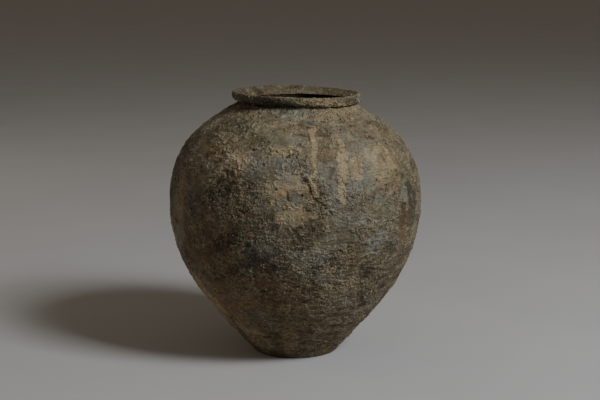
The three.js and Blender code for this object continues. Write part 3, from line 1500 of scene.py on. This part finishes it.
@dataclass
class GritScatter:
    """Loose grit stuck in the crust: small angular stones, half sunk in the clay."""

    density: float = 42000.0
    smallest: float = 0.55 * MM
    largest: float = 1.55 * MM
    seed: int = 11
    roundness: int = 1  # 1 gives a stone 20 faces

    def tree(self, finish: bpy.types.Material) -> bpy.types.NodeTree:
        """Writes the scatter as a node tree.

        Args:
            finish: The material it ends with.

        Returns:
            The tree, with an input for each size.
        """
        tree = new_tree("Grit", self.sizes())
        net = Net(tree)
        entry = net.add("NodeGroupInput")
        place = net.add("GeometryNodeInputPosition").outputs[0]
        crust = net.own(Mark.CRUST.value)
        clumps = net.ease(net.noise(place, 34, 4, 0.65), 0.47, 0.66)
        spread = net.add("GeometryNodeDistributePointsOnFaces", distribute_method="RANDOM")
        net.feed(entry.outputs["Geometry"], spread.inputs["Mesh"])
        thick = net.times(net.times(crust, clumps), entry.outputs["Density"])
        net.feed(thick, spread.inputs["Density"])
        net.feed(entry.outputs["Seed"], spread.inputs["Seed"])
        stone = net.add("GeometryNodeMeshIcoSphere")
        stone.inputs["Radius"].default_value = 1.0
        stone.inputs["Subdivisions"].default_value = self.roundness
        put = net.add("GeometryNodeInstanceOnPoints")
        net.feed(spread.outputs["Points"], put.inputs["Points"])
        net.feed(stone.outputs["Mesh"], put.inputs["Instance"])
        turned = self._random(net, "FLOAT_VECTOR", (0, 0, 0), (FULL_TURN, FULL_TURN, FULL_TURN))
        net.feed(turned, put.inputs["Rotation"])
        size = self._random(net, "FLOAT", entry.outputs["Smallest"], entry.outputs["Largest"])
        uneven = self._random(net, "FLOAT_VECTOR", (0.7, 0.7, 0.5), (1.3, 1.3, 1.0))
        net.feed(net.scaled(uneven, size), put.inputs["Scale"])
        tone = net.add("GeometryNodeStoreNamedAttribute", data_type="FLOAT", domain="INSTANCE")
        net.feed(put.outputs[0], tone.inputs["Geometry"])
        tone.inputs["Name"].default_value = TONE
        net.feed(self._random(net, "FLOAT", 0.0, 1.0), tone.inputs["Value"])
        net.end(tone.outputs[0], finish)
        return tree

    def sizes(self) -> dict[str, float | int]:
        """The scatter's sizes by the names of the tree's inputs."""
        return {
            "Density": self.density, "Smallest": self.smallest, "Largest": self.largest, "Seed": self.seed,
        }

    @staticmethod
    def _random(net: Net, kind: str, low: object, high: object) -> Socket:
        """A random value between two others, different for each stone.

        Args:
            net: The tree's net.
            kind: Its data type.
            low: The lowest.
            high: The highest.

        Returns:
            The value.
        """
        node = net.add("FunctionNodeRandomValue", data_type=kind)
        ends = [s for s in node.inputs if s.enabled and s.name in ("Min", "Max")]
        net.feed(low, ends[0])
        net.feed(high, ends[1])
        return next(s for s in node.outputs if s.enabled)

    def over(self, name: str, ground: bpy.types.Object, tree: bpy.types.NodeTree) -> bpy.types.Object:
        """Scatters grit over a piece.

        Args:
            name: The grit's name.
            ground: The piece it lies on.
            tree: The scatter's tree.

        Returns:
            The grit, as one piece.
        """
        grit = bpy.data.objects.new(name, ground.data.copy())
        bpy.context.scene.collection.objects.link(grit)
        grown(grit, tree, self.sizes())
        self._map(grit.data)
        return grit

    @staticmethod
    def _map(mesh: bpy.types.Mesh) -> None:
        """Gives each stone its own square of the baking map.

        Args:
            mesh: The stones, one after the other.
        """
        corners, stone_faces = 3, 20
        filled = 0.42  # how much of its square a stone's half width takes up
        faces = len(mesh.polygons)
        stones = max(1, faces // stone_faces)
        side = math.ceil(math.sqrt(stones))
        where = np.empty(len(mesh.vertices) * 3)
        mesh.vertices.foreach_get("co", where)
        index = np.empty(faces * corners, np.int32)
        mesh.loops.foreach_get("vertex_index", index)
        where = where.reshape(-1, 3)[index].reshape(stones, stone_faces * corners, 3)
        middle = where.mean(axis=1, keepdims=True)
        spread = where - middle
        flat = spread[..., :2] / np.maximum(np.abs(spread[..., :2]).max(axis=(1, 2), keepdims=True), 1e-9)
        cell = np.arange(stones)
        corner = np.stack((cell % side, cell // side), axis=1)[:, None, :]
        layer = mesh.uv_layers.get(BAKE_MAP) or mesh.uv_layers.new(name=BAKE_MAP)
        layer.uv.foreach_set("vector", ((corner + 0.5 + filled * flat) / side).astype(np.float32).ravel())


@dataclass(frozen=True)
class GritFinish:
    """The stones' colours, from dark clay to pale lime and a little ochre; the pale stones are partly
    painted glints.
    """

    dark: Colour = (0.040, 0.033, 0.022, 1)
    mid: Colour = (0.115, 0.100, 0.068, 1)
    pale: Colour = (0.460, 0.410, 0.310, 1)
    ochre: Colour = (0.360, 0.170, 0.060, 1)

    def material(self) -> bpy.types.Material:
        """Writes the finish as a material.

        Returns:
            The material.
        """
        made, net, shader, place = new_material("grit_stone")
        tone = net.kept(TONE)
        ramp = net.add("ShaderNodeValToRGB")
        net.feed(tone, ramp.inputs[0])
        # the pale stones stand partly for painted glints on the grit
        stops = ((0.0, self.dark), (0.75, self.mid), (0.92, self.pale), (0.99, self.ochre))
        while len(ramp.color_ramp.elements) < len(stops):
            ramp.color_ramp.elements.new(0.5)
        for element, (position, colour) in zip(ramp.color_ramp.elements, stops):
            element.position, element.color = position, colour
        mottle = net.ease(net.noise(place, 700, 3, 0.6), 0.35, 0.65)
        worn = net.blend(net.times(mottle, 0.45), ramp.outputs[0], self.dark)
        net.feed(worn, shader.inputs["Base Color"])
        net.feed(net.plus(net.times(net.noise(place, 500, 2), 0.3), 0.5), shader.inputs["Roughness"])
        net.feed(net.bump(net.noise(place, 1500, 3), 0.5, 0.4 * MM), shader.inputs["Normal"])
        return made


# ---------------------------------------------------------------- sub-assemblies


@dataclass
class JarBody:
    """The jar's pieces of clay, from the base dish to the rim coil."""

    line: WallLine
    joints: tuple[float, ...]  # heights of the joints on the outside, from the dish's to the collar's

    def rings(self) -> dict[Clay, list[Ring]]:
        """The pieces, by finish.

        Returns:
            Each finish's rings, from the bottom up.
        """
        places = [self.line.at_height(height) for height in self.joints]
        courses = [
            Ring(f"wall_course_{i + 1}", self._course(low, high))
            for i, (low, high) in enumerate(zip(places, places[1:]))
        ]
        collar = Ring("neck_collar", self._collar(places[-1]))
        return {
            Clay.BASE: [Ring("base_dish", self._dish(places[0]))],
            Clay.WALL: [*courses, collar],
            Clay.RIM: [Ring("rim_coil", self._rim())],
        }

    def _lap(self, start: np.ndarray, end: np.ndarray) -> Strip:
        """The bevelled face of a joint, between two points."""
        return plain_strip(Face.LAP, [tuple(start), tuple(end)], 3 * MM)

    def _course(self, low: float, high: float) -> list[Strip]:
        """A wall course's strips.

        Args:
            low: How far along the outside it starts.
            high: How far along the outside it ends.

        Returns:
            Its strips, round its section.
        """
        bevel = self.line.outline.bevel
        outside = self.line.outside(low, high)
        inside = self.line.inside(high - bevel, low - bevel)
        return [
            outside,
            self._lap(outside.points[-1], inside.points[0]),
            inside,
            self._lap(inside.points[-1], outside.points[0]),
        ]

    def _dish(self, top: float) -> list[Strip]:
        """The base dish's strips.

        Args:
            top: How far along the outside its upstand ends.

        Returns:
            Its flat underside, round standing edge, upstand, joint and floor.
        """
        size = self.line.outline
        angles = np.radians(np.linspace(-90, -30, 8))
        middle = np.array((size.foot_radius - size.foot_round, size.foot_round))
        edge = middle + size.foot_round * np.stack((np.cos(angles), np.sin(angles)), axis=1)
        outside = self.line.outside(3 * MM, top)
        under = plain_strip(Face.STAND, [(0.0, 0.0), tuple(edge[0])], 9 * MM)
        turned_edge = np.vstack((edge, outside.points[0]))
        lining_end = self.line.inner(top - size.bevel)
        floor_radius = self.line.inner(0)[0] - size.wall
        floor = plain_strip(
            Face.LINING, [tuple(lining_end), (float(floor_radius), size.floor), (0.0, size.floor)], 6 * MM
        )
        return [
            under,
            Strip(Face.SKIN, turned_edge, square_to(turned_edge)),
            outside,
            self._lap(outside.points[-1], lining_end),
            floor,
        ]

    def _collar(self, low: float) -> list[Strip]:
        """The neck collar's strips.

        Args:
            low: How far along the outside it starts.

        Returns:
            Its strips, up to the rim coil's seat and back down.
        """
        size = self.line.outline
        top = self.line.length
        outside = self.line.outside(low, top)
        inner_top = self.line.inner(top - size.wall)
        throat = plain_strip(Face.LINING, [(size.seat_radius, size.neck_height), tuple(inner_top)], 2 * MM)
        inside = self.line.inside(top - size.wall, low - size.bevel)
        return [
            outside,
            self._lap(outside.points[-1], throat.points[0]),
            throat,
            inside,
            self._lap(inside.points[-1], outside.points[0]),
        ]

    def _rim(self) -> list[Strip]:
        """The rim coil's strips.

        Returns:
            Its skin from the neck over the crest to the throat, its cut-back and its seat.
        """
        size = self.line.outline
        seat = (size.seat_radius, size.neck_height)
        skin = evenly(spline(size.rim()), 1.2 * MM)
        cut_back = plain_strip(Face.LINING, [tuple(skin[-1]), seat], 1.5 * MM)
        return [
            Strip(Face.SKIN, skin, square_to(skin)),
            cut_back,
            self._lap(cut_back.points[-1], skin[0]),
        ]


# ---------------------------------------------------------------- stage


@dataclass(frozen=True)
class Lamp:
    """A soft square light: its name, place, side, power in watts and colour."""

    name: str
    place: tuple[float, float, float]
    side: float
    power: float
    colour: tuple[float, float, float]


KEY = Lamp("key", (2.85, -2.18, 3.22), 1.35, 184.0, (0.97, 0.99, 1.0))
KICKER = Lamp("kicker", (-3.2, 1.84, 0.55), 0.8, 19.0, (1.0, 0.84, 0.66))


@dataclass
class Studio:
    """A pale floor, a soft light from the right and a camera a little above the jar."""

    distance: float = 2.571
    eye_height: float = 0.752
    pitch: float = 10.19
    lens: float = 81.9
    shift: float = 0.008
    aim_height: float = 0.28
    floor_reach: float = 40.0
    floor_steps: int = 40
    floor_dark: Colour = (0.44, 0.44, 0.45, 1)
    floor_pale: Colour = (0.50, 0.50, 0.51, 1)
    air: Colour = (0.50, 0.43, 0.34, 1)
    air_strength: float = 0.27

    def camera(self) -> None:
        """Sets the camera up in front of the jar."""
        data = bpy.data.cameras.new("camera")
        data.lens, data.sensor_width, data.shift_x = self.lens, 36.0, self.shift
        eye = bpy.data.objects.new("camera", data)
        eye.location = (0, -self.distance, self.eye_height)
        eye.rotation_euler = (math.radians(90 - self.pitch), 0, 0)
        bpy.context.scene.collection.objects.link(eye)
        bpy.context.scene.camera = eye

    def light(self, lamp: Lamp) -> None:
        """Hangs a lamp, turned to the jar's belly.

        Args:
            lamp: The lamp.
        """
        data = bpy.data.lights.new(lamp.name, "AREA")
        data.shape, data.size, data.energy, data.color = "SQUARE", lamp.side, lamp.power, lamp.colour
        hung = bpy.data.objects.new(lamp.name, data)
        hung.location = lamp.place
        aim = Vector((0, 0, self.aim_height)) - Vector(lamp.place)
        hung.rotation_euler = aim.to_track_quat("-Z", "Y").to_euler()
        bpy.context.scene.collection.objects.link(hung)

    def floor(self) -> None:
        """Lays a wide, pale, slightly mottled floor."""
        steps = self.floor_steps
        line = np.linspace(-self.floor_reach, self.floor_reach, steps + 1)
        x, y = np.meshgrid(line, line)
        index = np.arange((steps + 1) ** 2).reshape(steps + 1, steps + 1)
        quads = np.stack((index[:-1, :-1], index[:-1, 1:], index[1:, 1:], index[1:, :-1]), axis=-1)
        mesh = bpy.data.meshes.new("floor")
        points = np.stack((x, y, 0 * x), axis=-1).reshape(-1, 3)
        mesh.from_pydata(points, [], quads.reshape(-1, 4).tolist())
        made, net, shader, place = new_material("floor")
        cloud = net.noise(place, 3, 4)
        tint = net.blend(cloud, self.floor_dark, self.floor_pale)
        net.feed(tint, shader.inputs["Base Color"])
        shader.inputs["Roughness"].default_value = 0.9
        mesh.materials.append(made)
        floor = bpy.data.objects.new("floor", mesh)
        bpy.context.scene.collection.objects.link(floor)

    def build(self) -> None:
        """Sets up the whole studio."""
        self.camera()
        self.floor()
        self.light(KEY)
        self.light(KICKER)
        world = bpy.data.worlds.new("studio")
        world.use_nodes = True
        sky = world.node_tree.nodes["Background"]
        sky.inputs["Color"].default_value = self.air
        sky.inputs["Strength"].default_value = self.air_strength
        bpy.context.scene.world = world


# ---------------------------------------------------------------- putting it together


def corners(box: tuple[Vector, Vector]) -> list[list[float]]:
    """A box's two corners as plain numbers."""
    return [[float(each) for each in corner] for corner in box]


def place_on_body(piece: bpy.types.Object, node: str | None = None) -> None:
    """Fixes a piece to the jar's body.

    Args:
        piece: The piece.
        node: The part that it stands for, if it does.
    """
    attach(piece, BODY)
    if node:
        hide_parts(node)
    LOG.info("%s: %d faces", piece.name, len(piece.data.polygons))


def main() -> None:
    """Builds the jar and its studio, and logs how many faces each piece has."""
    logging.basicConfig(level=logging.INFO, format="%(name)s: %(message)s")
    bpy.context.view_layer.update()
    Studio().build()
    outline = JarOutline()
    line = WallLine(outline)
    courses = [f"wall_course_{i}" for i in range(1, 8)]
    joints = tuple(float(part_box(node)[1].z) for node in ("base_dish", *courses))
    relief = Relief(line)
    rim_relief = Relief(line, daubs=3.6 * MM, lips=1.2 * MM, strokes=2.4 * MM, wobble=2.6 * MM)
    grit = GritScatter()
    grit_tree = grit.tree(GritFinish().material())
    for clay, rings in JarBody(line, joints).rings().items():
        tree = relief.tree(ClayFinish(clay).material())
        for ring in rings:
            piece = ring.build()
            grown(piece, tree, (rim_relief if clay is Clay.RIM else relief).sizes())
            stones = grit.over(f"{ring.name}_grit", piece, grit_tree)
            place_on_body(piece, ring.name)
            place_on_body(stones)


if __name__ == "__main__":
    main()
